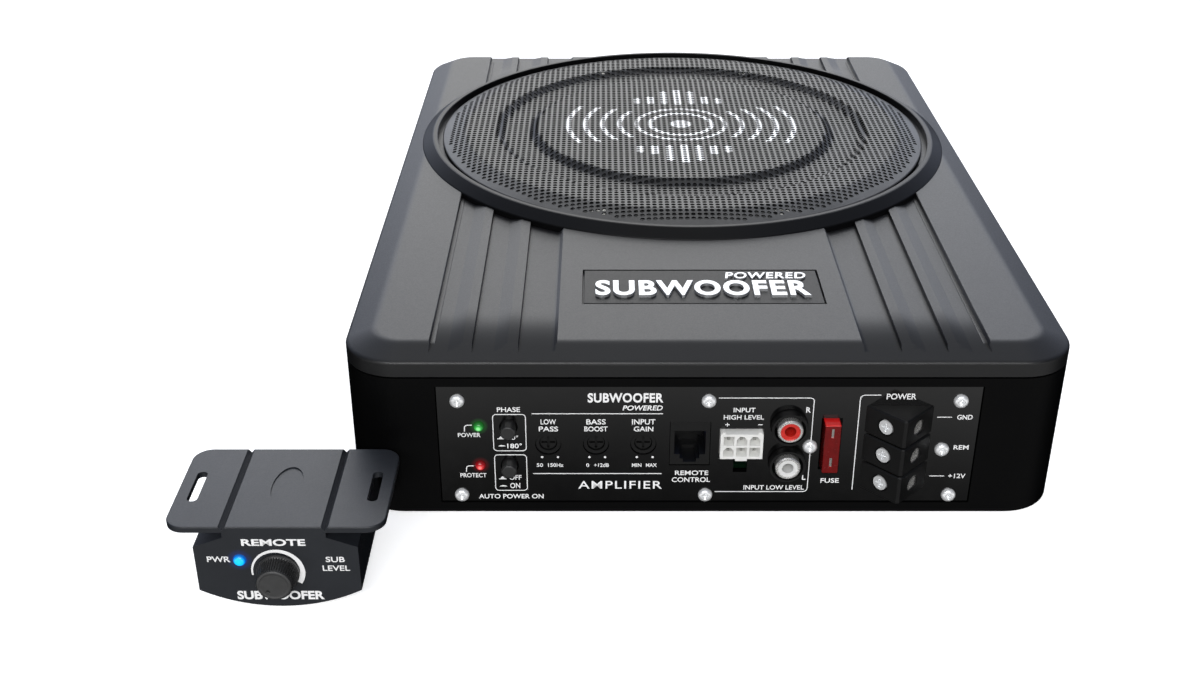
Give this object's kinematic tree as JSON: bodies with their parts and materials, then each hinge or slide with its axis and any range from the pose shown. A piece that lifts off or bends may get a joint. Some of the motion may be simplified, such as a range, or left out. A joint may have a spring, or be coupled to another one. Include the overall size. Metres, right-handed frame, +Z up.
{
  "type": "powered car subwoofer",
  "caption": "Slim rectangular under-seat powered subwoofer with a round grille on top, a control and connector panel in front, and a wired level remote with an eared mounting plate.",
  "frame": {"origin": "centre of the enclosure's flat base, on the surface it stands on", "axes": "+X to the right seen from the control panel, +Y from the control panel towards the back, +Z up; the remote stands at -X in front of the enclosure"},
  "size_m": [0.2873, 0.3751, 0.067],
  "materials": {
    "shell_plastic": "fine-textured satin black",
    "seal_foam": "closed-cell foam",
    "trim_plastic": "satin black",
    "badge": "satin black",
    "grille_paint": "powder-coated grey on perforated steel",
    "basket_paint": "black paint",
    "ferrite": "dull ferrite",
    "plated_steel": "zinc plated",
    "chrome_screw": "bright nickel",
    "cone_material": "moulded cone",
    "surround_rubber": "butyl rubber",
    "spider_cloth": "resin-dipped cloth",
    "coil_copper": "enamelled winding",
    "pcb": "solder mask",
    "aluminium_raw": "extruded",
    "component_black": "moulded",
    "capacitor_sleeve": "shrink sleeve",
    "panel_gloss": "gloss black with white legends",
    "led_green": "lit lens",
    "led_red": "lit lens",
    "led_cyan": "lit lens",
    "button_black": "satin",
    "nylon_white": "natural nylon",
    "gold_contact": "gold flash",
    "nickel": "nickel plate",
    "insulator_red": "red",
    "insulator_white": "white",
    "fuse_red": "translucent red",
    "lead_insulation": "insulation",
    "remote_plastic": "fine-textured satin black",
    "knob_plastic": "satin black"
  },
  "bodies": {
    "enclosure": {"lower_shell": "shell_plastic", "shell_gasket": "seal_foam", "top_cover": "shell_plastic", "cover_screws": "plated_steel", "badge_plate": "badge", "trim_ring": "trim_plastic", "grille": "grille_paint", "woofer_basket": "basket_paint", "woofer_gasket": "seal_foam", "woofer_screws": "plated_steel", "woofer_yoke": "plated_steel", "woofer_magnet": "ferrite", "woofer_top_plate": "plated_steel", "spider": "spider_cloth", "surround": "surround_rubber", "speaker_terminals": "gold_contact", "speaker_leads": "lead_insulation", "amplifier_board": "pcb", "heat_sink": "aluminium_raw", "power_transistors": "component_black", "filter_capacitors": "capacitor_sleeve", "toroid_transformer": "coil_copper", "control_panel": "panel_gloss", "panel_screws": "chrome_screw", "led_power": "led_green", "led_protect": "led_red", "switch_block": "component_black", "potentiometers": "component_black", "remote_socket": "component_black", "remote_socket_contacts": "gold_contact", "input_header": "nylon_white", "header_pins": "nickel", "rca_body": "component_black", "rca_shells": "nickel", "rca_insulator_right": "insulator_red", "rca_insulator_left": "insulator_white", "fuse_holder": "component_black", "terminal_block": "component_black", "terminal_inserts": "nickel"},
    "cone_assembly": {"woofer_cone": "cone_material", "voice_coil": "coil_copper", "dust_cap": "cone_material"},
    "phase_button": {"phase_button": "button_black"},
    "auto_power_button": {"auto_power_button": "button_black"},
    "low_pass_shaft": {"low_pass_shaft": "button_black"},
    "bass_boost_shaft": {"bass_boost_shaft": "button_black"},
    "input_gain_shaft": {"input_gain_shaft": "button_black"},
    "terminal_screw_1": {"terminal_screw_1": "chrome_screw"},
    "terminal_screw_2": {"terminal_screw_2": "chrome_screw"},
    "terminal_screw_3": {"terminal_screw_3": "chrome_screw"},
    "fuse": {"fuse_body": "fuse_red", "fuse_blades": "nickel"},
    "remote": {"remote_housing": "remote_plastic", "remote_rear_cover": "remote_plastic", "remote_cover_screws": "plated_steel", "remote_board": "pcb", "remote_potentiometer": "component_black", "remote_led": "led_cyan", "remote_jack": "component_black"},
    "remote_knob": {"remote_knob": "knob_plastic"}
  },
  "joints": [
    {"name": "cone_travel", "type": "slide", "parent": "enclosure", "child": "cone_assembly", "axis": [0, 0, 1], "range_m": [-0.0035, 0.0035], "stiffness_N_per_m": 3000, "deforming": ["surround", "spider"]},
    {"name": "phase_press", "type": "slide", "parent": "enclosure", "child": "phase_button", "axis": [0, 1, 0], "range_m": [0, 0.0025], "stiffness_N_per_m": 300},
    {"name": "auto_power_press", "type": "slide", "parent": "enclosure", "child": "auto_power_button", "axis": [0, 1, 0], "range_m": [0, 0.0025], "stiffness_N_per_m": 300},
    {"name": "low_pass_turn", "type": "hinge", "parent": "enclosure", "child": "low_pass_shaft", "pos_m": [-0.0528, -0.157, 0.027], "axis": [0, -1, 0], "range_deg": [-140, 140]},
    {"name": "bass_boost_turn", "type": "hinge", "parent": "enclosure", "child": "bass_boost_shaft", "pos_m": [-0.0369, -0.157, 0.027], "axis": [0, -1, 0], "range_deg": [-140, 140]},
    {"name": "input_gain_turn", "type": "hinge", "parent": "enclosure", "child": "input_gain_shaft", "pos_m": [-0.0212, -0.157, 0.027], "axis": [0, -1, 0], "range_deg": [-140, 140]},
    {"name": "terminal_screw_1_turn", "type": "hinge", "parent": "enclosure", "child": "terminal_screw_1", "pos_m": [0.0573, -0.1639, 0.03687], "axis": [-0.7071, -0.7071, 0], "range_deg": [-360, 360]},
    {"name": "terminal_screw_2_turn", "type": "hinge", "parent": "enclosure", "child": "terminal_screw_2", "pos_m": [0.0573, -0.1639, 0.02601], "axis": [-0.7071, -0.7071, 0], "range_deg": [-360, 360]},
    {"name": "terminal_screw_3_turn", "type": "hinge", "parent": "enclosure", "child": "terminal_screw_3", "pos_m": [0.0573, -0.1639, 0.01513], "axis": [-0.7071, -0.7071, 0], "range_deg": [-360, 360]},
    {"name": "fuse_pull", "type": "slide", "parent": "enclosure", "child": "fuse", "axis": [0, -1, 0], "range_m": [0, 0.018]},
    {"name": "remote_lift", "type": "slide", "parent": "enclosure", "child": "remote", "axis": [0, 0, 1], "range_m": [0, 0.12]},
    {"name": "remote_level_turn", "type": "hinge", "parent": "remote", "child": "remote_knob", "pos_m": [-0.1339, -0.2089, 0.0133], "axis": [0, -1, 0], "range_deg": [-150, 150]}
  ]
}
